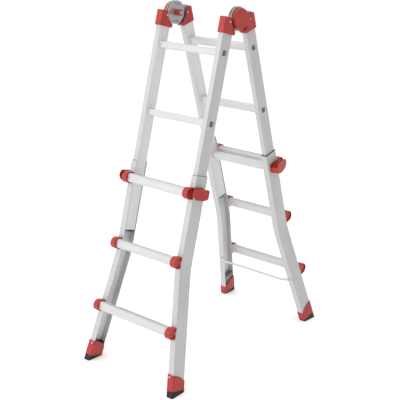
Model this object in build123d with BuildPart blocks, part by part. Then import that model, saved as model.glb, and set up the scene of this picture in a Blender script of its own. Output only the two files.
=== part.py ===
"""A multi position ladder: two telescopic halves on a pair of locking hinges, standing as an A.

Row frame: +Z up, +X across the ladder, the origin on the floor under the middle of the feet.
Each half is drawn in its own frame and placed by it: x across the ladder, y up the rail, and
w outward from the rail's centre plane. v is the distance down the rail from the hinge axis.
"""

import os
from math import cos, radians, sin, sqrt, tan

from build123d import *

os.makedirs("parts", exist_ok=True)

# Driving dimensions, in millimetres and degrees
hinge_height = 1439.3
lean = 15.68  # each half's angle from upright
rail_offset = 56.0  # hinge axis to a rail's centre plane
rung_pitch = 280.0
first_rung = 143.6  # hinge axis to the top rung, along the rail

# Inner section: two tube rails and three rungs through them
inner_face = 178.0  # outer side face of an inner rail, from the ladder's middle
inner_width = 24.0
inner_depth = 58.5
inner_wall = 2.0
inner_top = 9.0
inner_bottom = 925.0
inner_rungs = [first_rung + i * rung_pitch for i in range(3)]
inner_rung_size = 28.0
inner_rung_wall = 2.0
collar_size = 33.0
collar_length = 3.6

# Outer section: two channel rails with flared legs, three rungs across their outer faces
outer_face = 181.0
outer_width = 28.0
outer_depth = 68.4
outer_wall = 2.5
bead_width = 2.5
bead_depth = 4.0
outer_top = 632.0
outer_rungs = [first_rung + i * rung_pitch for i in range(2, 5)]
outer_rung_depth = 30.0
outer_rung_height = 36.0
outer_rung_wall = 2.0
hood_inset = 1.0  # the hood's end stands this far short of the rail's side face
hood_length = 24.0
hood_height = 48.0
hood_depth = 43.0
hood_recess = 4.5
hood_rim = 3.5
hood_end_wall = 2.8
hood_fit = (0.3, 2.4)  # the rung's play in its hood, outward and up
flare = 8.65
flare_middle = 1019.0  # where the straight rail and the straight leg would cross
bend_radius = 600.0
leg_length = 430.0  # straight leg below the bend
rod_radius = 5.0
rod_level = 1276.0
rod_stand_off = 47.5
glide_lips = {"front": 1.0, "rear": 3.8}

# Hinge: each half has an inner and an outer plate, and the rear half's lie just outside
# the front half's. Each x is a plate's side nearer the ladder's middle.
disc_radius = 48.0
hinge_clearance = 56.0  # rails and caps are cut back to this radius about the axis
plate = 2.7
front_plates = (156.2, 167.3)
rear_plates = (159.3, 170.4)
axle_radius = 5.0
axle_head_radius = 8.6
axle_head_thickness = 5.0
axle_end_radius = 9.0
axle_end_height = 0.5
running_clearance = 0.05
bore_clearance = 0.3
knob_radius = 13.0
knob_edge = 1.0
knob_end = 129.5
knob_recess_radius = 11.4
knob_recess_depth = 6.0
front_shoulder = ((-12, 9), (26.25, 14))  # from the disc to the rail: outward, down
rear_shoulder = ((-10, -12), (17, -6), (26.25, 3))
lock_plate_radius = 43.0
lock_plate_thickness = 1.5
lock_plate_x = 162.3
lock_pin_radius = 4.0
lock_pin_circle = 37.0
lock_pin_angle = -80.0  # in the rear half's frame, from outward towards down the rail
pin_clearance = 0.1
arm_end = 112.0
arm_clearance = 1.0
spacer_top = 72.0
spacer_width = 40.0

# Caps over the rail tops
cap_inner = 150.0
cap_outer = 183.0
cap_top = 5.0
cap_bottom = 68.0
cap_front = 34.5
cap_toe = -41.0
cap_corner = 4.5
cap_chamfer = 5.5
cap_toe_edge = ((cap_toe + 2, 50), (-30, cap_top))
cover_web = ((-35, 4), (2, cap_top), (-4, 40), (-24, 46), (-45, 30))
cover_web_width = 8.0
web_gap = 0.2
cover_radius = 43.0
cover_inner = 173.5
cover_outer = 190.0
cover_edge = 3.0
cover_wall = 3.0
cap_rivet = (3.0, 22.0)
rivet_hole_radius = 2.1

# Telescope locks on the first outer rung's level
lock_level = outer_rungs[0]
bolt_radius = 6.0
bolt_clearance = 0.08
bolt_end = 210.0
collar_radius = 8.9
hub_radius = 13.0
hub_end = 198.5
chamber_radius = 9.6
chamber_end = 196.0
lock_plate_outline = (54.0, 44.0, 10.0)  # width, height and corner radius on the rail's side
lock_plate_middle = (7.0, -5.0)  # outward and down from the bolt
lock_plate_height = 3.0
handle_inner_edge = (219.8, -16.0)  # x and w of the handle's face at its two ends
handle_outer_edge = (203.8, 74.0)
handle_wall = 2.6
handle_back = 187.0
boss_radius = 9.0
boss_start = 204.5
boss_end = 215.0
mouth_line = -13.0  # down from the bolt: above it the handle is open behind its face
nose_line = 26.0  # outward from the bolt: beyond it only the face is left

# Feet
boot_wall = 3.0
boot_line = 433.0  # along the leg, where the boot ends and the sole begins
plug_tops = {"front": 375.0, "rear": 338.0}
boot_start = 1380.0
boot_top = ((41, 1429), (4, 1435), (-41, 1463))  # outward and down: the boots' top edge
boot_rivet = 377.0  # along the leg
plug_rivet = 352.0
rivet_shift = 5.0  # from the leg's middle towards the ladder's

# The two halves' frames: origin on the rails' centre plane, level with the hinge axis
lean_sin = sin(radians(lean))
lean_cos = cos(radians(lean))
front = Plane(
    origin=(0, -rail_offset * lean_cos, hinge_height + rail_offset * lean_sin),
    x_dir=(1, 0, 0),
    z_dir=(0, -lean_cos, lean_sin),
)
rear = Plane(
    origin=(0, rail_offset * lean_cos, hinge_height + rail_offset * lean_sin),
    x_dir=(-1, 0, 0),
    z_dir=(0, lean_cos, lean_sin),
)

# The bend in an outer rail, and the straight leg below it
flare_sin = sin(radians(flare))
flare_cos = cos(radians(flare))
bend_start = flare_middle - bend_radius * tan(radians(flare / 2))
bend_end = bend_start + bend_radius * flare_sin
bend_end_x = outer_face + bend_radius * (1 - flare_cos)


def rail_face_at(v):
    """How far the outer side face of an outer rail stands from the ladder's middle."""
    if v <= bend_start:
        return outer_face
    if v <= bend_end:
        return outer_face + bend_radius - sqrt(bend_radius**2 - (v - bend_start) ** 2)
    return bend_end_x + (v - bend_end) * tan(radians(flare))


def direction(half, x, up, w):
    """A direction given across, up the rail and outward, in the row frame."""
    return half.x_dir * x + half.y_dir * up + half.z_dir * w


def across(half, v):
    """The plane square to the rails at v: x across, y outward, normal down the rail."""
    return Plane(half.from_local_coords((0, -v, 0)), x_dir=half.x_dir, z_dir=-half.y_dir)


def beside(half, x):
    """The plane along the rails at x: x outward, y down the rail, normal towards +x."""
    return Plane(half.from_local_coords((x, 0, 0)), x_dir=half.z_dir, z_dir=half.x_dir)


def facing(half, w):
    """The plane of the ladder's face at w: x across, y up the rail, normal outward."""
    return Plane(half.from_local_coords((0, 0, w)), x_dir=half.x_dir, z_dir=half.z_dir)


def square_to_leg(half, side, length):
    """The plane square to a leg below the bend: its origin on the leg's outer side face,
    x across, y outward, normal down the leg."""
    origin = half.from_local_coords(
        (side * (bend_end_x + length * flare_sin), -(bend_end + length * flare_cos), 0)
    )
    return Plane(
        origin,
        x_dir=direction(half, flare_cos, side * flare_sin, 0),
        z_dir=direction(half, side * flare_sin, -flare_cos, 0),
    )


def handle_plane(half, side):
    """The slanting plane of a lock handle's face, its origin in line with the bolt:
    x outward along the face, y down the rail."""
    (x_a, w_a), (x_b, w_b) = handle_inner_edge, handle_outer_edge
    length = sqrt((x_b - x_a) ** 2 + (w_b - w_a) ** 2)
    x_step, w_step = (x_b - x_a) / length, (w_b - w_a) / length
    x_middle = x_a - w_a * x_step / w_step
    return Plane(
        half.from_local_coords((side * x_middle, -lock_level, 0)),
        x_dir=direction(half, side * x_step, 0, w_step),
        z_dir=direction(half, w_step, 0, -side * x_step),
    )


def make_inner_rail(half, side):
    """A tube rail with its rung holes, cut back round the hinge at its top."""
    middle = side * (inner_face - inner_width / 2)
    hole = inner_rung_size + 0.1
    with BuildPart() as rail:
        with BuildSketch(across(half, inner_top)):
            with Locations((middle, 0)):
                RectangleRounded(inner_width, inner_depth, 3)
                RectangleRounded(
                    inner_width - 2 * inner_wall,
                    inner_depth - 2 * inner_wall,
                    1.5,
                    mode=Mode.SUBTRACT,
                )
        extrude(amount=inner_bottom - inner_top)
        with BuildSketch(beside(half, middle)):
            with Locations((-rail_offset, 0)):
                Circle(hinge_clearance)
        extrude(amount=inner_width, both=True, mode=Mode.SUBTRACT)
        with BuildSketch(beside(half, middle)):
            with Locations(*[(0, v) for v in inner_rungs]):
                RectangleRounded(hole, hole, 5)
            with Locations(cap_rivet):
                Circle(rivet_hole_radius)
        extrude(amount=inner_width, both=True, mode=Mode.SUBTRACT)
    return rail


def make_inner_rung(half, v):
    """A square tube through both inner rails, with a swaged collar against each of them."""
    bore = inner_rung_size - 2 * inner_rung_wall
    rail_inside = inner_face - inner_width
    with BuildPart() as rung:
        with BuildSketch(beside(half, 0)):
            with Locations((0, v)):
                RectangleRounded(inner_rung_size, inner_rung_size, 5)
        extrude(amount=inner_face + 0.2, both=True)
        for side in (-1, 1):
            with BuildSketch(beside(half, side * rail_inside)):
                with Locations((0, v)):
                    RectangleRounded(collar_size, collar_size, 7)
            extrude(amount=-side * collar_length, taper=25)
        with BuildSketch(beside(half, 0)):
            with Locations((0, v)):
                RectangleRounded(bore, bore, 3)
        extrude(amount=inner_face + 1, both=True, mode=Mode.SUBTRACT)
    return rung


def make_end_plugs(half):
    """The plastic plugs in the lower ends of the two inner rails."""
    lip = 3.0
    insert = 22.0
    loose = 0.3
    with BuildPart() as plugs:
        for side in (-1, 1):
            middle = (side * (inner_face - inner_width / 2), 0)
            with BuildSketch(across(half, inner_bottom)):
                with Locations(middle):
                    RectangleRounded(inner_width, inner_depth, 3)
            extrude(amount=lip, taper=20)
            with BuildSketch(across(half, inner_bottom)):
                with Locations(middle):
                    RectangleRounded(
                        inner_width - 2 * (inner_wall + loose),
                        inner_depth - 2 * (inner_wall + loose),
                        1.5,
                    )
            extrude(amount=-insert)
    return plugs


def hinge_outline(shoulder):
    """A hinge plate in the current sketch: a disc on the hinge axis and an arm into the rail.
    The shoulder is the top edge of the arm, between the disc and the rail."""
    with Locations((-rail_offset, 0)):
        Circle(disc_radius)
    arm = inner_depth / 2 - inner_wall - arm_clearance
    Polygon(
        *shoulder, (arm, arm_end), (-arm, arm_end), (-arm, 36), (-rail_offset, 30),
        (-rail_offset, 0), align=None,
    )


def make_bracket(half, side, plates, inner_bore, outer_bore, pin_holes, shoulder):
    """One half's part of a hinge: two plates held apart by a spacer inside the rail."""
    inner_plate, outer_plate = plates
    with BuildPart() as bracket:
        for x, bore in ((inner_plate, inner_bore), (outer_plate, outer_bore)):
            with BuildSketch(beside(half, side * x)):
                hinge_outline(shoulder)
                with Locations((-rail_offset, 0)):
                    Circle(bore, mode=Mode.SUBTRACT)
                    if x == inner_plate:
                        with Locations(*pin_holes):
                            Circle(lock_pin_radius + pin_clearance, mode=Mode.SUBTRACT)
            extrude(amount=side * plate)
        with BuildSketch(beside(half, side * (inner_plate + plate))):
            with Locations((0, (spacer_top + arm_end) / 2)):
                Rectangle(spacer_width, arm_end - spacer_top)
        extrude(amount=side * (outer_plate - inner_plate - plate))
    return bracket


def round_the_hinge(angles):
    """Places on the pin circle about the hinge axis, at angles from outward towards down."""
    return [
        (lock_pin_circle * cos(radians(a)), lock_pin_circle * sin(radians(a))) for a in angles
    ]


def lock_pin_places():
    """The two lock pins' places, which turn with the rear half."""
    return round_the_hinge((lock_pin_angle, lock_pin_angle + 180))


def lock_hole_places():
    """The holes in a front plate: for the pins where the ladder stands as an A, for the pins
    where it is straight or folded, and a pair between them."""
    standing = 2 * lean - lock_pin_angle
    straight = -lock_pin_angle
    between = standing + 84
    angles = [a + turn for a in (standing, straight, between) for turn in (0, 180)]
    return round_the_hinge(angles)


def make_axles():
    """The two hinge axles: each runs through the plates, riveted over outside the rear half's
    outer plate, and ends in a round head in the knob."""
    outside = rear_plates[1] + plate
    start = knob_end - 0.5
    with BuildPart() as axles:
        for side in (-1, 1):
            with BuildSketch(beside(rear, side * start)):
                with Locations((-rail_offset, 0)):
                    Circle(axle_radius)
            extrude(amount=side * (outside - start))
            with BuildSketch(beside(rear, side * start)):
                with Locations((-rail_offset, 0)):
                    Circle(axle_head_radius)
            extrude(amount=side * axle_head_thickness)
            head = axles.edges().filter_by(GeomType.CIRCLE).sort_by(Axis.X)
            fillet(head[0] if side * rear.x_dir.X < 0 else head[-1], radius=0.8)
            with BuildSketch(beside(rear, side * outside)):
                with Locations((-rail_offset, 0)):
                    Circle(axle_end_radius)
            extrude(amount=side * axle_end_height)
    return axles


def make_knob(side):
    """The push knob on the inner side of a hinge: it slides on the axle, round its head."""
    with BuildPart() as knob:
        with BuildSketch(beside(rear, side * knob_end)):
            with Locations((-rail_offset, 0)):
                Circle(knob_radius)
        extrude(amount=side * (lock_plate_x - knob_end))
        rim = knob.edges().filter_by(GeomType.CIRCLE).sort_by(Axis.X)
        fillet(rim[-1] if side > 0 else rim[0], radius=knob_edge)
        with BuildSketch(beside(rear, side * knob_end)):
            with Locations((-rail_offset, 0)):
                Circle(knob_recess_radius)
        extrude(amount=side * knob_recess_depth, mode=Mode.SUBTRACT)
        with BuildSketch(beside(rear, side * knob_end)):
            with Locations((-rail_offset, 0)):
                Circle(axle_radius + running_clearance)
        extrude(amount=side * (lock_plate_x - knob_end), mode=Mode.SUBTRACT)
    return knob


def make_lock_plate(side):
    """The plate behind the knob, with the two pins that lock the hinge."""
    with BuildPart() as lock_plate:
        with BuildSketch(beside(rear, side * lock_plate_x)):
            with Locations((-rail_offset, 0)):
                Circle(lock_plate_radius)
                Circle(axle_radius + running_clearance, mode=Mode.SUBTRACT)
        extrude(amount=side * lock_plate_thickness)
        with BuildSketch(beside(rear, side * lock_plate_x)):
            with Locations((-rail_offset, 0)):
                with Locations(*lock_pin_places()):
                    Circle(lock_pin_radius)
        extrude(amount=side * (rear_plates[0] - lock_plate_x))
    return lock_plate


def coil(half, start_x, end_x, radius, wire, turns, place):
    """A spring's coil along x, between two places across the ladder."""
    height = abs(end_x - start_x) - 2 * wire
    start = half.from_local_coords((start_x + (wire if end_x > start_x else -wire), *place))
    toward = half.x_dir * (1 if end_x > start_x else -1)
    helix = Helix(height / turns, height, radius, center=start, direction=toward)
    with BuildPart() as spring:
        with BuildSketch(Plane(helix @ 0, z_dir=helix % 0)):
            Circle(wire)
        sweep(path=helix, is_frenet=True)
    return spring.part


def make_hinge_springs():
    """The springs that push the two lock plates home."""
    radius = 9.0
    wire = 0.45
    with BuildPart() as springs:
        for side in (-1, 1):
            begin = side * (lock_plate_x + lock_plate_thickness)
            add(coil(rear, begin, side * front_plates[1], radius, wire, 2, (0, -rail_offset)))
    return springs


def make_cap(half, side, with_cover):
    """The plastic cap on a rail's top, hollowed round the hinge's discs. The rear one also
    carries the round cover over the hinge's outer side."""
    width = cap_outer - cap_inner
    depth = cap_front - cap_toe
    middle = side * (cap_outer + cap_inner) / 2
    rail_middle = side * (inner_face - inner_width / 2)
    with BuildPart() as cap:
        with BuildSketch(across(half, cap_top)):
            with Locations((middle, (cap_front + cap_toe) / 2)):
                RectangleRounded(width, depth, cap_corner)
        extrude(amount=cap_bottom - cap_top)
        with BuildSketch(beside(half, middle)):
            with BuildLine():
                Polyline(
                    (cap_front, cap_top), (cap_front, cap_bottom), (cap_toe + cap_chamfer, cap_bottom),
                    (cap_toe, cap_bottom - cap_chamfer), *cap_toe_edge, close=True,
                )
            make_face()
            with Locations((-rail_offset, 0)):
                Circle(hinge_clearance, mode=Mode.SUBTRACT)
        extrude(amount=width, both=True, mode=Mode.INTERSECT)
        with BuildSketch(across(half, cap_top)):
            with Locations((rail_middle, 0)):
                RectangleRounded(inner_width + 0.1, inner_depth + 0.1, 3)
        extrude(amount=cap_bottom - cap_top, mode=Mode.SUBTRACT)
        with BuildSketch(beside(half, middle)):
            with Locations(cap_rivet):
                Circle(rivet_hole_radius)
        extrude(amount=width, both=True, mode=Mode.SUBTRACT)
        if with_cover:
            with BuildSketch(beside(half, side * cover_inner)):
                with Locations((-rail_offset, 0)):
                    Circle(cover_radius)
            extrude(amount=side * (cover_outer - cover_inner))
            rim = cap.edges().filter_by(GeomType.CIRCLE).sort_by(Axis.X)
            outermost = rim[-1] if side * half.x_dir.X > 0 else rim[0]
            fillet(outermost, radius=cover_edge)
            with BuildSketch(beside(half, side * (inner_face + web_gap))):
                with BuildLine():
                    Polyline(*cover_web, close=True)
                make_face()
            extrude(amount=side * cover_web_width)
            with BuildSketch(beside(half, side * (cover_inner - 1))):
                with Locations((-rail_offset, 0)):
                    Circle(cover_radius - cover_wall)
            extrude(amount=side * (cover_outer - cover_inner - 2), mode=Mode.SUBTRACT)
    return cap


def rivet(place, head_radius, head_height, shank=0):
    """A rivet with its head on the plane given, and a shank of the length given below it."""
    with BuildPart() as piece:
        with BuildSketch(place):
            Circle(head_radius)
        extrude(amount=head_height, taper=35)
        if shank:
            with BuildSketch(place):
                Circle(2.0)
            extrude(amount=-shank)
    return piece.part


def make_cap_rivets(half):
    """The rivets that hold the two caps to the rails, on both sides of each."""
    w, v = cap_rivet
    with BuildPart() as rivets:
        for side in (-1, 1):
            for x, toward in ((cap_outer, side), (cap_inner, -side)):
                place = Plane(
                    half.from_local_coords((side * x, -v, w)),
                    x_dir=half.y_dir,
                    z_dir=half.x_dir * toward,
                )
                add(rivet(place, 3.6, 1.2, shank=5.5))
    return rivets


def channel_outline(side, face):
    """The outer rail's section in the current sketch, its outer side face at the x given."""
    with Locations((side * (face - outer_width / 2), 0)):
        RectangleRounded(outer_width, outer_depth, 2.2)
    opening = outer_width - outer_wall + 1
    with Locations((side * (face - outer_wall - opening / 2), 0)):
        Rectangle(opening, outer_depth - 2 * outer_wall, mode=Mode.SUBTRACT)
    bead_middle = outer_depth / 2 - bead_depth / 2
    with Locations(*[(side * (face - outer_width + bead_width / 2), w * bead_middle) for w in (-1, 1)]):
        RectangleRounded(bead_width, bead_depth, 0.9)


def make_outer_rail(half, side):
    """A channel rail round the inner rail, bent outward above its leg."""
    bend_centre = half.from_local_coords((side * (outer_face + bend_radius), -bend_start, 0))
    with BuildPart() as rail:
        with BuildSketch(across(half, outer_top)):
            channel_outline(side, outer_face)
        extrude(amount=bend_start - outer_top)
        with BuildSketch(across(half, bend_start)):
            channel_outline(side, outer_face)
        revolve(axis=Axis(bend_centre, half.z_dir * side), revolution_arc=flare)
        with BuildSketch(square_to_leg(half, side, 0)):
            channel_outline(side, 0)
        extrude(amount=leg_length)
        with BuildSketch(beside(half, side * outer_face)):
            with Locations((0, lock_level)):
                Circle(bolt_radius + bolt_clearance)
        extrude(amount=outer_wall * 2, both=True, mode=Mode.SUBTRACT)
    return rail


def make_outer_rung(half, v):
    """A rounded tread tube across the outer faces of the two outer rails, ribbed on top."""
    length = rail_face_at(v) - hood_inset - hood_recess - hood_end_wall - 0.4
    middle = outer_depth / 2 + outer_rung_depth / 2
    ribs = 5
    with BuildPart() as rung:
        with BuildSketch(beside(half, 0)):
            with Locations((middle, v)):
                RectangleRounded(outer_rung_depth, outer_rung_height, 8)
            with Locations((middle, v - outer_rung_height / 2)):
                with GridLocations(3.2, 1, ribs, 1):
                    Rectangle(1.4, 1.4)
            with Locations((middle, v)):
                RectangleRounded(
                    outer_rung_depth - 2 * outer_rung_wall,
                    outer_rung_height - 2 * outer_rung_wall,
                    6,
                    mode=Mode.SUBTRACT,
                )
        extrude(amount=length, both=True)
    return rung


def hood_outline(half_height, front_face, rail_front, v):
    """A hood's outline in the current sketch: flat on the rail and round in front."""
    with Locations((front_face - half_height, v)):
        Circle(half_height)
    flat = front_face - half_height - rail_front
    with Locations((rail_front + flat / 2, v)):
        Rectangle(flat, 2 * half_height)


def hood(half, side, v):
    """The hood over one end of an outer rung, hollowed in its end."""
    end = rail_face_at(v) - hood_inset
    rail_front = outer_depth / 2
    front_face = rail_front + hood_depth
    half_height = hood_height / 2
    with BuildPart() as shell:
        with BuildSketch(beside(half, side * (end - hood_length))):
            hood_outline(half_height, front_face, rail_front, v)
        extrude(amount=side * hood_length)
        with BuildSketch(beside(half, side * end)):
            hood_outline(half_height - hood_rim, front_face - hood_rim, rail_front + hood_rim, v)
        extrude(amount=-side * hood_recess, mode=Mode.SUBTRACT)
        with BuildSketch(beside(half, side * (end - hood_length))):
            with Locations((rail_front + outer_rung_depth / 2, v)):
                RectangleRounded(outer_rung_depth + hood_fit[0], outer_rung_height + hood_fit[1], 8)
        inside = hood_length - hood_recess - hood_end_wall
        extrude(amount=side * inside, mode=Mode.SUBTRACT)
        with BuildSketch(beside(half, side * (end - hood_length))):
            with Locations((rail_front - hood_depth / 2, v)):
                Rectangle(hood_depth, 2 * hood_height)
        extrude(amount=side * hood_length, mode=Mode.SUBTRACT)
    return shell.part


def make_rung_caps(half):
    """The six rung end caps of one outer section, and the two hubs that guide the lock bolts."""
    width, height, corner = lock_plate_outline
    outward, down = lock_plate_middle
    with BuildPart() as caps:
        for side in (-1, 1):
            for v in outer_rungs:
                add(hood(half, side, v))
            with BuildSketch(beside(half, side * outer_face)):
                with Locations((outward, lock_level + down)):
                    RectangleRounded(width, height, corner)
            extrude(amount=side * lock_plate_height)
            with BuildSketch(beside(half, side * outer_face)):
                with Locations((0, lock_level)):
                    Circle(hub_radius)
            extrude(amount=side * (hub_end - outer_face))
            with BuildSketch(beside(half, side * outer_face)):
                with Locations((0, lock_level)):
                    Circle(chamber_radius)
            extrude(amount=side * (chamber_end - outer_face), mode=Mode.SUBTRACT)
            with BuildSketch(beside(half, side * outer_face)):
                with Locations((0, lock_level)):
                    Circle(bolt_radius + bolt_clearance)
            extrude(amount=side * (hub_end - outer_face), mode=Mode.SUBTRACT)
    return caps


def handle_outline(inset):
    """The handle's leaf shape: a flat top edge, a round nose and a round belly."""
    corners = [(-14, -24), (56, -24), (73, -3), (50, 20), (12, 22), (-14, 15)]
    radii = [10, 14, 16, 22, 30, 12]
    with BuildSketch() as leaf:
        with BuildLine():
            FilletPolyline(*corners, radius=radii, close=True)
        make_face()
        if inset:
            offset(amount=-inset, mode=Mode.REPLACE)
    return leaf.sketch


def make_handle(half, side):
    """A lock's pull handle: a slanting leaf-shaped face, with a wall round its back end and
    belly, open at the top and at the nose for the fingers, and a boss that holds the bolt."""
    face = handle_plane(half, side)
    reach = 60.0
    wide = 120.0
    with BuildPart() as handle:
        with BuildSketch(face):
            add(handle_outline(0))
        extrude(amount=-side * reach)
        with BuildSketch(face.offset(-side * handle_wall)):
            add(handle_outline(handle_wall))
            with Locations((0, mouth_line - wide / 2)):
                Rectangle(2 * wide, wide)
            with Locations((nose_line + wide / 2, 0)):
                Rectangle(wide, wide)
        extrude(amount=-side * (reach + handle_wall), mode=Mode.SUBTRACT)
        with BuildSketch(beside(half, side * handle_back)):
            with Locations((0, lock_level)):
                Rectangle(2 * wide, wide)
        extrude(amount=-side * wide, mode=Mode.SUBTRACT)
        with BuildSketch(beside(half, side * boss_start)):
            with Locations((0, lock_level)):
                Circle(boss_radius)
        extrude(amount=side * (boss_end - boss_start))
        with BuildSketch(beside(half, side * boss_start)):
            with Locations((0, lock_level)):
                Circle(bolt_radius)
        extrude(amount=side * (bolt_end - boss_start), mode=Mode.SUBTRACT)
    return handle


def make_bolt(half, side):
    """A lock's steel bolt, with the collar that its spring pushes on."""
    with BuildPart() as bolt:
        with BuildSketch(beside(half, side * (inner_face + 0.6))):
            with Locations((0, lock_level)):
                Circle(bolt_radius)
        extrude(amount=side * (bolt_end - inner_face - 0.6))
        with BuildSketch(beside(half, side * (outer_face + 0.4))):
            with Locations((0, lock_level)):
                Circle(collar_radius)
        extrude(amount=side * 2)
    return bolt


def make_lock_springs(half):
    """The springs in the two lock hubs of one outer section."""
    radius = 8.1
    wire = 0.7
    with BuildPart() as springs:
        for side in (-1, 1):
            begin = side * (outer_face + 2.6)
            end = side * (chamber_end - 0.2)
            add(coil(half, begin, end, radius, wire, 5, (-lock_level, 0)))
    return springs


def make_brace(half):
    """The steel rod between the two legs, behind the lowest rung, with a flat tab at each end."""
    leg_inside = rail_face_at(rod_level) - outer_width
    flange = -outer_depth / 2
    tab = 3.0
    tab_length = 22.0
    low = flange - rod_radius + 0.8
    bend = leg_inside - 6
    with BuildPart() as brace:
        with BuildLine(across(half, rod_level)) as run:
            FilletPolyline(
                (-leg_inside - 6, low), (-bend, low), (-bend + 18, -rod_stand_off),
                (bend - 18, -rod_stand_off), (bend, low), (leg_inside + 6, low),
                radius=14,
            )
        with BuildSketch(Plane(run.wires()[0] @ 0, z_dir=run.wires()[0] % 0)):
            Circle(rod_radius)
        sweep(path=run.wires()[0])
        for side in (-1, 1):
            with BuildSketch(facing(half, flange)):
                with Locations((side * (leg_inside + tab_length / 2), -rod_level)):
                    RectangleRounded(tab_length, 13, 5)
            extrude(amount=-tab)
        split(bisect_by=facing(half, flange), keep=Keep.BOTTOM)
    return brace


def make_glides(half, lip):
    """The plastic guides in the tops of the two outer rails, between them and the inner rails."""
    pad = 2.0
    pad_length = 60.0
    gap = outer_depth / 2 - outer_wall
    with BuildPart() as glides:
        for side in (-1, 1):
            with BuildSketch(across(half, outer_top)):
                with Locations((side * (outer_face - outer_width / 2), 0)):
                    Rectangle(outer_width, 2 * gap)
                opening = outer_width - outer_wall + 1
                with Locations((side * (outer_face - outer_wall - opening / 2), 0)):
                    Rectangle(opening, 2 * (gap - pad), mode=Mode.SUBTRACT)
            extrude(amount=-lip)
            with BuildSketch(across(half, outer_top)):
                for face in (-1, 1):
                    with Locations((side * (outer_face - outer_width / 2), face * (gap - pad / 2))):
                        Rectangle(outer_width - 8, pad - 0.1)
            extrude(amount=pad_length)
    return glides


def make_boots(half):
    """The two plastic boots over the ends of one outer section's legs."""
    top = 355.0
    with BuildPart() as boots:
        for side in (-1, 1):
            middle = (-side * outer_width / 2, 0)
            with BuildSketch(square_to_leg(half, side, top)):
                with Locations(middle):
                    RectangleRounded(outer_width + 2 * boot_wall, outer_depth + 2 * boot_wall, 5)
                    RectangleRounded(outer_width, outer_depth, 0.8, mode=Mode.SUBTRACT)
            extrude(amount=boot_line - top)
        with BuildSketch(beside(half, 0)):
            with BuildLine():
                edge = ThreePointArc(*boot_top)
                Polyline(edge @ 1, (-41, boot_start), (41, boot_start), edge @ 0)
            make_face()
        extrude(amount=320, both=True, mode=Mode.SUBTRACT)
    return boots


def make_feet(half, plug_top):
    """The two rubber feet of one outer section: a plug in the leg's channel and a sole that
    the floor cuts level."""
    plug_depth = outer_depth - 2 * outer_wall - 0.4
    plug_width = outer_width - outer_wall - bead_width - 0.4
    with BuildPart() as feet:
        for side in (-1, 1):
            plug_middle = -side * (outer_wall + 0.2 + plug_width / 2)
            with BuildSketch(square_to_leg(half, side, plug_top)):
                with Locations((plug_middle, 0)):
                    Rectangle(plug_width, plug_depth)
            extrude(amount=boot_line + 1 - plug_top)
            with BuildSketch(square_to_leg(half, side, boot_line)):
                with Locations((-side * outer_width / 2, 0)):
                    RectangleRounded(outer_width + 2 * boot_wall - 1, outer_depth + 2 * boot_wall - 1, 5)
            extrude(amount=60)
        split(bisect_by=Plane.XY, keep=Keep.TOP)
    return feet


def make_leg_rivets(half, with_plugs):
    """The rivets in one outer section's boots, foot plugs and brace tabs."""
    tab_x = rail_face_at(rod_level) - outer_width + 13
    with BuildPart() as rivets:
        for side in (-1, 1):
            leg = square_to_leg(half, side, boot_rivet)
            from_side = -side * (outer_width / 2 + rivet_shift)
            front_face = leg.from_local_coords((from_side, outer_depth / 2 + boot_wall, 0))
            add(rivet(Plane(front_face, x_dir=leg.x_dir, z_dir=leg.y_dir), 4.2, 1.4))
            if with_plugs:
                leg = square_to_leg(half, side, plug_rivet)
                mouth = -side * (outer_width - bead_width - 0.2)
                inner_face_point = leg.from_local_coords((mouth, -12, 0))
                add(rivet(Plane(inner_face_point, x_dir=leg.y_dir, z_dir=leg.x_dir * -side), 4.2, 1.4))
            tab_face = half.from_local_coords((side * tab_x, -rod_level, -outer_depth / 2 - 3))
            add(rivet(Plane(tab_face, x_dir=half.x_dir, z_dir=-half.z_dir), 4.2, 1.6))
    return rivets


def save(piece, name):
    """Label a finished piece and write it as its own STEP file."""
    piece.part.label = name
    export_step(piece.part, f"parts/{name}.step")


for half_name, half in (("front", front), ("rear", rear)):
    is_front = half_name == "front"
    for place, sign in (("left", -1), ("right", 1)):
        side = round(sign * half.x_dir.X)
        save(make_inner_rail(half, side), f"{half_name}_inner_rail_{place}")
        if is_front:
            bracket = make_bracket(
                half, side, front_plates, knob_radius + bore_clearance,
                axle_radius + running_clearance, lock_hole_places(), front_shoulder,
            )
        else:
            bracket = make_bracket(
                half, side, rear_plates, knob_radius + bore_clearance,
                axle_radius, lock_pin_places(), rear_shoulder,
            )
        save(bracket, f"{half_name}_hinge_bracket_{place}")
        save(make_cap(half, side, with_cover=not is_front), f"{half_name}_hinge_cap_{place}")
        save(make_outer_rail(half, side), f"{half_name}_outer_rail_{place}")
        save(make_handle(half, side), f"{half_name}_lock_handle_{place}")
        save(make_bolt(half, side), f"{half_name}_lock_bolt_{place}")
    for number, v in enumerate(inner_rungs, start=1):
        save(make_inner_rung(half, v), f"{half_name}_inner_rung_{number}")
    for number, v in enumerate(outer_rungs, start=1):
        save(make_outer_rung(half, v), f"{half_name}_outer_rung_{number}")
    save(make_end_plugs(half), f"{half_name}_inner_rail_plugs")
    save(make_cap_rivets(half), f"{half_name}_cap_rivets")
    save(make_rung_caps(half), f"{half_name}_rung_caps")
    save(make_lock_springs(half), f"{half_name}_lock_springs")
    save(make_brace(half), f"{half_name}_brace_rod")
    save(make_glides(half, glide_lips[half_name]), f"{half_name}_rail_glides")
    save(make_boots(half), f"{half_name}_boots")
    save(make_feet(half, plug_tops[half_name]), f"{half_name}_feet")
    save(make_leg_rivets(half, with_plugs=not is_front), f"{half_name}_leg_rivets")

for place, sign in (("left", -1), ("right", 1)):
    side = round(sign * rear.x_dir.X)
    save(make_knob(side), f"hinge_knob_{place}")
    save(make_lock_plate(side), f"hinge_lock_plate_{place}")
save(make_axles(), "hinge_axles")
save(make_hinge_springs(), "hinge_springs")
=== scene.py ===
from math import cos, radians, sin

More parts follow.
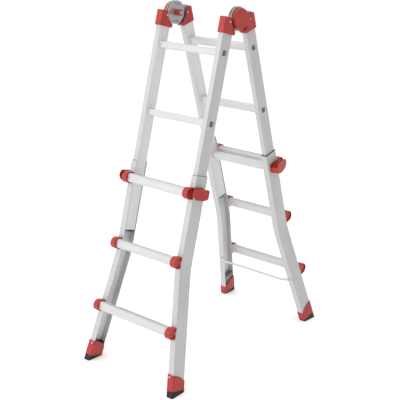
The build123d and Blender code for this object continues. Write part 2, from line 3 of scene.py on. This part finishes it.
import bmesh
import bpy
from mathutils import Euler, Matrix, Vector


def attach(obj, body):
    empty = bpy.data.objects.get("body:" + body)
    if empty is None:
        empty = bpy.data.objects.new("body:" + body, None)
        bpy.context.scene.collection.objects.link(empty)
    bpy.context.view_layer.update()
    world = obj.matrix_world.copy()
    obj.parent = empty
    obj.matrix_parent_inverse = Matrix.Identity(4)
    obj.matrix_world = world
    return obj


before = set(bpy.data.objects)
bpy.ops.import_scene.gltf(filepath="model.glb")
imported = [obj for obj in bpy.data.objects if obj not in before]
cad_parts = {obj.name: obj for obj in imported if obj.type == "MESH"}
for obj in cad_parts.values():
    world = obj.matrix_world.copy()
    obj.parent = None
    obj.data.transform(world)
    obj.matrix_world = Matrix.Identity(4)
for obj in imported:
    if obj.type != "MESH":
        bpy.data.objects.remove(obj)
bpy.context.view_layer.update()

# The ladder's own lines, in metres and degrees, as the CAD model has them. Places across the
# ladder are distances from its middle, places down it are along a rail from the hinge axis.
HINGE_HEIGHT = 1.4393
LEAN = radians(15.68)
RAIL_OFFSET = 0.056
FIRST_RUNG = 0.1436
RUNG_PITCH = 0.280
FLARE = radians(8.65)
BEND_RADIUS = 0.600
BEND_START = 1.019 - 0.0454
LEG_LENGTH = 0.415  # straight leg below the bend, as far as the boot
TREAD_EDGE = 0.045  # height of the rear feet's black tread
TREAD_BLEND = 0.001
SIDES = (("left", -1), ("right", 1))
HALVES = (("front", -1), ("rear", 1))

# The camera
CAMERA_PLACE = (2.445, -2.8524, 1.9036)
CAMERA_YAW = 40.92
CAMERA_PITCH = -18.42
CAMERA_LENS = 82.66
CAMERA_SENSOR = 36.0

# Edge rounding
FINE_EDGE = 0.0004
MOULDED_EDGE = 0.0008

# Painted shade: a black ring in the recess at each push knob's end, and black sheets in the caps
# round the hinge discs where the gaps lie in shade: inner and outer x, inner and outer radius,
# first and last angle
KNOB_RECESS_SHADE = (0.1340, 0.1352, 0.0052, 0.0113, 0, 360)
REAR_CAP_SHADE_SHEET = (0.1550, 0.1591, 0.0488, 0.0557, 304, 359)
FRONT_CAP_SHADE_SHEET = (0.1705, 0.1775, 0.0488, 0.0557, 186, 236)
ARC_STEPS = 48

# The swaged rims round the open rung ends in the inner rails
LIPPED_RUNGS = (0, 1)
RAIL_FACE = 0.1780
LIP_SIZE = 0.0316
LIP_HOLE = 0.0240
LIP_HEIGHT = 0.0007
LIP_CORNER = 0.0060
LIP_HOLE_CORNER = 0.7  # share of the outer corner's radius
CORNER_POINTS = 5

# The black plug's curved end below an inner rail
PLUG_SIDES = (0.1560, 0.1765)
PLUG_HALF_WIDTH = 0.027
PLUG_TOP = 0.9242
PLUG_EDGE = 0.9252
PLUG_BULGE = 0.0085
PLUG_STEPS = 12

# The groove line down the inside of an outer rail's web: outline points are a distance inward
# from the web and a place outward from the rail's centre plane
WEB_INSIDE = 0.1785
GROOVE_TOP = 0.640
GROOVE_OUTLINE = ((0.0003, -0.0006), (0.0003, -0.0018), (-0.0006, -0.0018), (-0.0006, -0.0006))
BEND_STEPS = 6

# Stage: a light's name, place, size in metres and power in watts, and the surround's
# brightness by direction, from the ladder's left side (0) to its right side (1)
FLOOR_SIZE = 40
FLOOR_GLOW = 0.22
LIGHTS = (
    ("key", (-1.6, -4.6, 2.6), 3.0, 78),
    ("top", (0.0, 0.2, 4.5), 3.5, 45),
)
LIGHTS_AIM = (0, 0, 0.7)
SURROUND_STOPS = ((0.45, 1.0), (0.62, 0.92), (0.85, 0.50), (1.0, 0.42))


def point(half, x, v, w):
    """A place on the front (-1) or rear (1) half: x across the ladder, v down the rail from
    the hinge axis and w outward from the rail's centre plane."""
    out = RAIL_OFFSET + w
    return Vector((
        x,
        half * (v * sin(LEAN) + out * cos(LEAN)),
        HINGE_HEIGHT - v * cos(LEAN) + out * sin(LEAN),
    ))


# ---------------------------------------------------------------- materials


class Shader:
    """A node material under way: small helpers for the nodes that every finish here uses."""

    def __init__(self, name):
        self.material = bpy.data.materials.new(name)
        self.material.use_nodes = True
        self.tree = self.material.node_tree
        self.bsdf = self.tree.nodes["Principled BSDF"]
        self.coords = self.tree.nodes.new("ShaderNodeTexCoord")

    def node(self, kind, **inputs):
        made = self.tree.nodes.new(kind)
        for key, value in inputs.items():
            made.inputs[key.replace("_", " ")].default_value = value
        return made

    def link(self, out, socket):
        self.tree.links.new(out, socket)

    def stretched(self, scale, turn=(0, 0, 0)):
        """Object coordinates turned and then scaled, so that a noise follows a direction."""
        turned = self.node("ShaderNodeMapping", Rotation=turn)
        self.link(self.coords.outputs["Object"], turned.inputs["Vector"])
        scaled = self.node("ShaderNodeMapping", Scale=scale)
        self.link(turned.outputs["Vector"], scaled.inputs["Vector"])
        return scaled.outputs["Vector"]

    def axis(self, vector, name):
        """One of the three numbers of a vector."""
        split = self.node("ShaderNodeSeparateXYZ")
        self.link(vector, split.inputs["Vector"])
        return split.outputs[name]

    def noise(self, vector, scale, detail=4.0, roughness=0.5):
        made = self.node("ShaderNodeTexNoise", Scale=scale, Detail=detail, Roughness=roughness)
        self.link(vector, made.inputs["Vector"])
        return made.outputs["Fac"]

    def ramp(self, value, stops):
        """A colour or grey ramp over value: stops are (place, colour)."""
        made = self.tree.nodes.new("ShaderNodeValToRGB")
        fill_ramp(made.color_ramp.elements, stops)
        self.link(value, made.inputs["Fac"])
        return made.outputs["Color"]

    def spread(self, value, **limits):
        """value mapped from one span to another."""
        made = self.node("ShaderNodeMapRange", **limits)
        self.link(value, made.inputs["Value"])
        return made.outputs["Result"]

    def mix(self, factor, a, b, blend="MIX"):
        made = self.tree.nodes.new("ShaderNodeMix")
        made.data_type = "RGBA"
        made.blend_type = blend
        for socket, value in ((0, factor), (6, a), (7, b)):
            if isinstance(value, bpy.types.NodeSocket):
                self.link(value, made.inputs[socket])
            elif socket == 0:
                made.inputs[0].default_value = value
            else:
                made.inputs[socket].default_value = (*value, 1)
        return made.outputs[2]

    def bump(self, height, strength, distance):
        made = self.node("ShaderNodeBump", Strength=strength, Distance=distance)
        self.link(height, made.inputs["Height"])
        return made.outputs["Normal"]

    def finish(self, colour, roughness, normal=None, **uniform):
        self.link(colour, self.bsdf.inputs["Base Color"])
        self.link(roughness, self.bsdf.inputs["Roughness"])
        if normal is not None:
            self.link(normal, self.bsdf.inputs["Normal"])
        for key, value in uniform.items():
            self.bsdf.inputs[key.replace("_", " ")].default_value = value
        return self.material


def fill_ramp(elements, stops):
    """Give a colour ramp its stops."""
    while len(elements) < len(stops):
        elements.new(0.5)
    for element, (place, colour) in zip(elements, stops):
        element.position = place
        element.color = (*colour, 1)


def grey(value):
    return (value, value, value)


def aluminium(name, turn, long_axis, level):
    """Clear anodised extrusion: fine drawing lines along it, faint die streaks and handling
    marks. A rail, which leans, also has painted bounce light: its inward faces are painted
    brighter."""
    shader = Shader(name)
    fine = [1.0, 1.0, 1.0]
    fine[long_axis] = 0.012
    broad = [1.0, 1.0, 1.0]
    broad[long_axis] = 0.03
    lines = shader.noise(shader.stretched(fine, turn), 900, 3.0)
    streaks = shader.noise(shader.stretched(broad, turn), 90, 2.0)
    clouds = shader.noise(shader.coords.outputs["Object"], 9, 3.0)
    base = shader.ramp(streaks, [(0.3, grey(level * 0.96)), (0.7, grey(level * 1.03))])
    dulled = shader.ramp(clouds, [(0.35, grey(0.97)), (0.65, grey(1.0))])
    colour = shader.mix(1.0, base, dulled, "MULTIPLY")
    if turn[0]:
        # Painted bounce light: a brighter colour on the inward faces, standing in for light thrown
        # back from the white surround.
        painted_bounce_light = shader.ramp(streaks, [(0.3, grey(0.70)), (0.7, grey(0.76))])
        colour = shader.mix(inward_facing(shader), colour, painted_bounce_light)
    brushed = shader.ramp(lines, [(0.3, grey(0.42)), (0.7, grey(0.52))])
    normal = shader.bump(lines, 0.05, 0.0001)
    return shader.finish(colour, brushed, normal, Metallic=0.12, Coat_Weight=0.05)


def inward_facing(shader):
    """1 on the faces of a rail that look at the other rail, 0 elsewhere. These faces get painted
    bounce light, a brighter colour standing in for light from the white surround."""
    surface = shader.node("ShaderNodeNewGeometry")
    product = shader.node("ShaderNodeMath")
    product.operation = "MULTIPLY"
    shader.link(shader.axis(shader.coords.outputs["Object"], "X"), product.inputs[0])
    shader.link(shader.axis(surface.outputs["Normal"], "X"), product.inputs[1])
    return shader.spread(
        product.outputs["Value"], From_Min=-0.14, From_Max=-0.09, To_Min=1, To_Max=0
    )


def moulded(name, dark, light, rough_low, rough_high, grain, strength, tread=None):
    """Textured moulding: a fine spark-eroded grain, faint flow marks and paler rubbed places.
    tread is the colour below the height of the tread's edge, where it isn't the same."""
    shader = Shader(name)
    place = shader.coords.outputs["Object"]
    flow = shader.noise(place, 22, 3.0)
    speckle = shader.noise(place, grain, 5.0, 0.6)
    colour = shader.ramp(flow, [(0.32, dark), (0.68, light)])
    if tread:
        above = shader.spread(
            shader.axis(place, "Z"),
            From_Min=TREAD_EDGE - TREAD_BLEND, From_Max=TREAD_EDGE + TREAD_BLEND,
        )
        grainy = shader.ramp(speckle, [(0.42, grey(0.55)), (0.6, grey(1.0))])
        colour = shader.mix(1.0, colour, grainy, "MULTIPLY")
        colour = shader.mix(above, tread, colour)
    rough = shader.ramp(speckle, [(0.3, grey(rough_low)), (0.7, grey(rough_high))])
    normal = shader.bump(speckle, strength, 0.0004)
    return shader.finish(colour, rough, normal, Specular_IOR_Level=0.4)


def plated(name, level, tint, rough):
    """Zinc plated steel: spangled tone, a slight warm and cool drift and fine scratches."""
    shader = Shader(name)
    place = shader.coords.outputs["Object"]
    cells = shader.node("ShaderNodeTexVoronoi", Scale=120)
    shader.link(place, cells.inputs["Vector"])
    drift = shader.noise(place, 14, 2.0)
    scratch = shader.noise(shader.stretched((1, 1, 0.3)), 260, 3.0)
    spangle = [(0.0, grey(level)), (1.0, grey(level * 0.93))]
    tone = shader.ramp(cells.outputs["Distance"], spangle)
    cast = shader.ramp(drift, [(0.35, tint), (0.65, (0.97, 0.98, 1.0))])
    colour = shader.mix(1.0, tone, cast, "MULTIPLY")
    finish = shader.ramp(scratch, [(0.3, grey(rough * 0.9)), (0.7, grey(rough * 1.15))])
    normal = shader.bump(scratch, 0.04, 0.0001)
    return shader.finish(colour, finish, normal, Metallic=0.6)


def make_materials():
    """Every finish on the ladder, by name."""
    rail = {
        half: aluminium(f"rail_{half}", (sign * LEAN, 0, 0), 2, 0.53)
        for half, sign in (("front", 1), ("rear", -1))
    }
    return {
        "rail_front": rail["front"],
        "rail_rear": rail["rear"],
        # Painted shade: the groove line's strip is given a darker aluminium colour, standing in for
        # the shade in the groove.
        "painted_groove_shade": aluminium("painted_groove_shade", (0, 0, 0), 2, 0.30),
        "rung": aluminium("rung", (0, 0, 0), 0, 0.60),
        "red": moulded(
            "red", (0.38, 0.026, 0.018), (0.44, 0.034, 0.025), 0.34, 0.46, 900, 0.06
        ),
        "black": moulded(
            "black", (0.012, 0.012, 0.013), (0.022, 0.022, 0.023), 0.4, 0.55, 900, 0.08
        ),
        "rubber": moulded(
            "rubber", (0.013, 0.011, 0.011), (0.024, 0.021, 0.02), 0.6, 0.8, 700, 0.12
        ),
        "plug": moulded(
            "plug", (0.20, 0.19, 0.185), (0.32, 0.30, 0.295), 0.6, 0.8, 300, 0.15,
            tread=(0.028, 0.026, 0.025),
        ),
        "zinc": plated("zinc", 0.42, (1.0, 0.99, 0.98), 0.32),
        "bright": plated("bright", 0.62, (1.0, 0.99, 0.98), 0.34),
        "spring": plated("spring", 0.42, (1.0, 0.97, 0.92), 0.28),
    }


def finish_of(node):
    """The finish of a CAD node, by its name."""
    half = "rail_front" if node.startswith("front") else "rail_rear"
    if node.endswith("springs"):
        return "spring"
    if node.endswith(("plugs", "glides")):
        return "black"
    if node.endswith("feet"):
        return "rubber" if node.startswith("front") else "plug"
    if node.endswith(("rivets", "brace_rod")):
        return "bright"
    if any(word in node for word in ("bracket", "lock_plate", "axles", "bolt")):
        return "zinc"
    if any(word in node for word in ("cap", "boots", "handle", "knob")):
        return "red"
    return "rung" if "rung" in node else half


def soften(piece, width):
    """Round a piece's sharp edges a little, and shade it smoothly between them."""
    bevel = piece.modifiers.new("edges", "BEVEL")
    bevel.width = width
    bevel.segments = 2
    bevel.limit_method = "ANGLE"
    bevel.angle_limit = radians(35)
    bevel.harden_normals = True


def dress_nodes(materials):
    """Give every CAD node its finish and soft edges."""
    for name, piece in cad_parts.items():
        finish = finish_of(name)
        piece.data.materials.clear()
        piece.data.materials.append(materials[finish])
        soften(piece, MOULDED_EDGE if finish in ("red", "rubber") else FINE_EDGE)


# ---------------------------------------------------------------- detail pieces


def add_piece(name, vertices, faces, body, slot, material):
    """A visual piece that rides a CAD body and takes the given material. slot is not used."""
    mesh = bpy.data.meshes.new(name)
    mesh.from_pydata([tuple(v) for v in vertices], [], faces)
    shape = bmesh.new()
    shape.from_mesh(mesh)
    bmesh.ops.recalc_face_normals(shape, faces=shape.faces)
    shape.to_mesh(mesh)
    shape.free()
    piece = bpy.data.objects.new(name, mesh)
    bpy.context.collection.objects.link(piece)
    piece.data.materials.append(material)
    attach(piece, body)
    return piece


def hinge_arc(side, near, far, inner, outer, start, end):
    """A ring or part of a ring about the hinge axis, on one side of the ladder. The angles are
    in degrees from the rear (+Y) upward; a full turn closes the ring."""
    x0, x1 = sorted((side * near, side * far))
    closed = end - start >= 360
    count = ARC_STEPS if closed else ARC_STEPS + 1
    vertices, faces = [], []
    for i in range(count):
        a = radians(start + (end - start) * i / ARC_STEPS)
        for x, r in ((x0, inner), (x0, outer), (x1, outer), (x1, inner)):
            vertices.append((x, r * cos(a), HINGE_HEIGHT + r * sin(a)))
    for i in range(ARC_STEPS):
        here, there = 4 * i, 4 * ((i + 1) % count)
        for k in range(4):
            n = (k + 1) % 4
            faces.append((here + k, here + n, there + n, there + k))
    if not closed:
        last = 4 * (count - 1)
        faces += [(0, 1, 2, 3), (last + 3, last + 2, last + 1, last)]
    return vertices, faces


def rung_rim(half, side, v):
    """A square frame standing out from an inner rail's side face, round a rung's open end."""
    def outline(edge, radius, x):
        points = []
        for quarter in range(4):
            for k in range(CORNER_POINTS):
                a = radians(90 * quarter + 90 * k / (CORNER_POINTS - 1))
                cu = (edge / 2 - radius) * (1 if quarter in (0, 3) else -1)
                cv = (edge / 2 - radius) * (1 if quarter in (0, 1) else -1)
                down, out = v + cv + radius * sin(a), cu + radius * cos(a)
                points.append(point(half, side * x, down, out))
        return points

    hole_corner = LIP_CORNER * LIP_HOLE_CORNER
    top = RAIL_FACE + LIP_HEIGHT
    vertices = (
        outline(LIP_SIZE, LIP_CORNER, RAIL_FACE) + outline(LIP_SIZE - LIP_HEIGHT, LIP_CORNER, top)
        + outline(LIP_HOLE, hole_corner, top)
        + outline(LIP_HOLE, hole_corner, RAIL_FACE - LIP_HEIGHT)
    )
    count = 4 * CORNER_POINTS
    faces = []
    for row in range(3):
        for i in range(count):
            n = (i + 1) % count
            a, b = row * count, (row + 1) * count
            faces.append((a + i, a + n, b + n, b + i))
    return vertices, faces


def rail_end(half, side):
    """The black curved end of the plug under an inner rail."""
    vertices, faces = [], []
    for x in PLUG_SIDES:
        for i in range(PLUG_STEPS + 1):
            w = PLUG_HALF_WIDTH * (1 - 2 * i / PLUG_STEPS)
            bulge = PLUG_BULGE * (1 - (w / PLUG_HALF_WIDTH) ** 2)
            vertices.append(point(half, side * x, PLUG_EDGE + bulge, w))
            vertices.append(point(half, side * x, PLUG_TOP, w))
    row = 2 * (PLUG_STEPS + 1)
    for i in range(PLUG_STEPS):
        k = 2 * i
        faces += [(k, k + 1, k + 3, k + 2), (row + k, row + k + 1, row + k + 3, row + k + 2)]
        faces += [(k, k + 2, row + k + 2, row + k), (k + 1, k + 3, row + k + 3, row + k + 1)]
    faces += [(0, 1, row + 1, row), (row - 2, row - 1, 2 * row - 1, 2 * row - 2)]
    return vertices, faces


def web_groove(half, side):
    """A darker strip down the inside of an outer rail's web and its flared leg: painted shade of
    the groove line.
    """
    track = [(WEB_INSIDE, GROOVE_TOP), (WEB_INSIDE, BEND_START)]
    for i in range(1, BEND_STEPS + 1):
        a = FLARE * i / BEND_STEPS
        track.append((WEB_INSIDE + BEND_RADIUS * (1 - cos(a)), BEND_START + BEND_RADIUS * sin(a)))
    x, v = track[-1]
    track.append((x + LEG_LENGTH * sin(FLARE), v + LEG_LENGTH * cos(FLARE)))
    vertices = [
        point(half, side * (x - inset), v, w) for x, v in track for inset, w in GROOVE_OUTLINE
    ]
    faces = []
    for i in range(len(track) - 1):
        for k in range(4):
            n = (k + 1) % 4
            faces.append((4 * i + k, 4 * i + n, 4 * i + 4 + n, 4 * i + 4 + k))
    last = 4 * (len(track) - 1)
    faces += [(0, 1, 2, 3), (last, last + 3, last + 2, last + 1)]
    return vertices, faces


def add_details(materials):
    """The small parts that the CAD leaves out: plug ends and rims, and painted shade: black rings
    and sheets in the knobs' recesses and the hinge caps' gaps, and darker groove strips.
    """
    black = ("black_plastic", materials["black"])
    for name, side in SIDES:
        # Painted shade: a black ring in each knob's recess and black sheets in the gaps of the
        # hinge caps.
        add_piece(f"knob_recess_shade_{name}", *hinge_arc(side, *KNOB_RECESS_SHADE), f"hinge_knob_{name}", *black)
        add_piece(f"rear_cap_shade_sheet_{name}", *hinge_arc(side, *REAR_CAP_SHADE_SHEET), "rear_inner", *black)
        shade_sheet = add_piece(
            f"front_cap_shade_sheet_{name}", *hinge_arc(side, *FRONT_CAP_SHADE_SHEET), "front_inner", *black
        )
        soften(shade_sheet, FINE_EDGE)
    for half_name, half in HALVES:
        inner, outer = f"{half_name}_inner", f"{half_name}_outer"
        for name, side in SIDES:
            add_piece(f"{half_name}_rail_end_{name}", *rail_end(half, side), inner, *black)
            # Painted shade: a darker strip for the groove line.
            add_piece(
                f"{half_name}_web_groove_{name}", *web_groove(half, side), outer,
                "rail_aluminium", materials["painted_groove_shade"],
            )
        for rung in LIPPED_RUNGS:
            for name, side in SIDES:
                add_piece(
                    f"{half_name}_rung_{rung + 1}_lip_{name}",
                    *rung_rim(half, side, FIRST_RUNG + rung * RUNG_PITCH), inner,
                    "rung_aluminium", materials["rung"],
                )


# ---------------------------------------------------------------- stage


def make_floor():
    """A pale floor that glows a little, so that it reads as white."""
    bpy.ops.mesh.primitive_plane_add(size=FLOOR_SIZE, location=(0, 0, 0))
    floor = bpy.context.object
    floor.name = "floor"
    shader = Shader("floor")
    clouds = shader.noise(shader.coords.outputs["Object"], 2.0, 2.0)
    colour = shader.ramp(clouds, [(0.3, grey(0.89)), (0.7, grey(0.91))])
    rough = shader.ramp(clouds, [(0.3, grey(0.85)), (0.7, grey(0.9))])
    shader.bsdf.inputs["Emission Color"].default_value = (1, 1, 1, 1)
    floor.data.materials.append(
        shader.finish(colour, rough, Specular_IOR_Level=0.2, Emission_Strength=FLOOR_GLOW)
    )


def make_surround():
    """A white surround that is darker towards the ladder's right side."""
    world = bpy.data.worlds.new("surround")
    bpy.context.scene.world = world
    world.use_nodes = True
    nodes, links = world.node_tree.nodes, world.node_tree.links
    coords = nodes.new("ShaderNodeTexCoord")
    split = nodes.new("ShaderNodeSeparateXYZ")
    links.new(coords.outputs["Generated"], split.inputs["Vector"])
    spread = nodes.new("ShaderNodeMapRange")
    spread.inputs["From Min"].default_value = -1
    spread.inputs["From Max"].default_value = 1
    links.new(split.outputs["X"], spread.inputs["Value"])
    shade = nodes.new("ShaderNodeValToRGB")
    fill_ramp(
        shade.color_ramp.elements, [(place, grey(level)) for place, level in SURROUND_STOPS]
    )
    links.new(spread.outputs["Result"], shade.inputs["Fac"])
    links.new(shade.outputs["Color"], nodes["Background"].inputs["Color"])
    nodes["Background"].inputs["Strength"].default_value = 1.0


def make_lights():
    """Soft area lights, aimed at the middle of the ladder."""
    for name, place, size, power in LIGHTS:
        data = bpy.data.lights.new(name, "AREA")
        data.size = size
        data.energy = power
        lamp = bpy.data.objects.new(name, data)
        bpy.context.collection.objects.link(lamp)
        lamp.location = place
        aim = Vector(LIGHTS_AIM) - Vector(place)
        lamp.rotation_euler = aim.to_track_quat("-Z", "Y").to_euler()


def make_camera():
    data = bpy.data.cameras.new("camera")
    data.lens = CAMERA_LENS
    data.sensor_width = CAMERA_SENSOR
    camera = bpy.data.objects.new("camera", data)
    bpy.context.collection.objects.link(camera)
    camera.location = CAMERA_PLACE
    camera.rotation_euler = Euler((radians(90 + CAMERA_PITCH), 0, radians(CAMERA_YAW)), "XYZ")
    bpy.context.scene.camera = camera


make_camera()
make_floor()
make_surround()
make_lights()
bpy.context.scene.view_settings.view_transform = "Standard"
materials = make_materials()
dress_nodes(materials)
add_details(materials)
